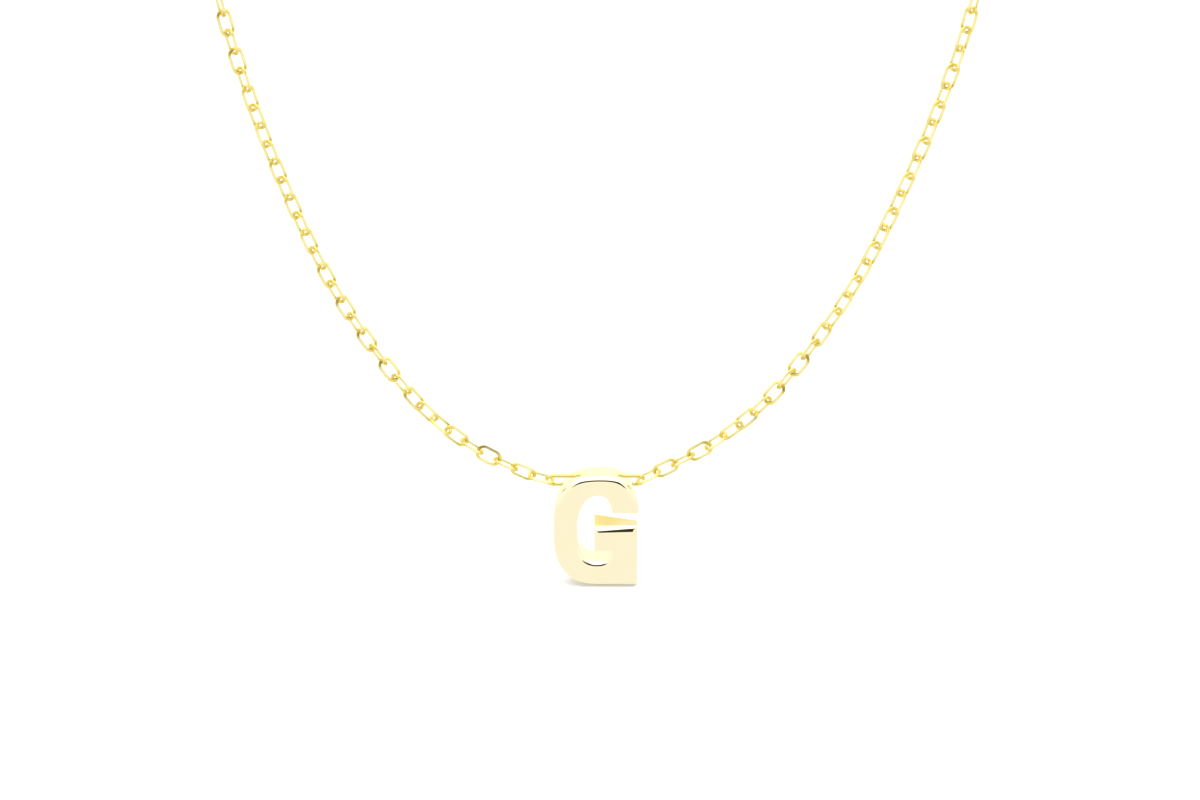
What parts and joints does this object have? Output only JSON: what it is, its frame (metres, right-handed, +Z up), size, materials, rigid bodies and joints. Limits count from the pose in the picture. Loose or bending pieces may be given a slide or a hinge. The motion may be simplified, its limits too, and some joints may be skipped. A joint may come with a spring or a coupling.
{
  "type": "initial pendant",
  "caption": "Necklace with a thick block letter G, hung by an eye on each shoulder between the two halves of a fine cable chain that closes at the nape with a ring clasp.",
  "frame": {"origin": "the nape: the middle of the clasp's ring at the back of the neck, where the loop hangs", "axes": "+Z up, the letter's face looks along -Y, +X to the right of the picture"},
  "size_m": [0.0916, 0.0969, 0.1127],
  "materials": {
    "letter_gold": "polished yellow gold",
    "chain_gold": "polished yellow gold wire with flattened sides",
    "clasp_gold": "polished yellow gold"
  },
  "bodies": {
    "chain": {"chain_left": "chain_gold", "chain_right": "chain_gold", "clasp": "clasp_gold", "end_ring": "clasp_gold"},
    "pendant": {"initial": "letter_gold"}
  },
  "joints": [
    {"name": "pendant_swing", "type": "hinge", "parent": "chain", "child": "pendant", "pos_m": [0, -0.094, -0.1005], "axis": [1, 0, 0], "range_deg": [-40, 15]}
  ]
}
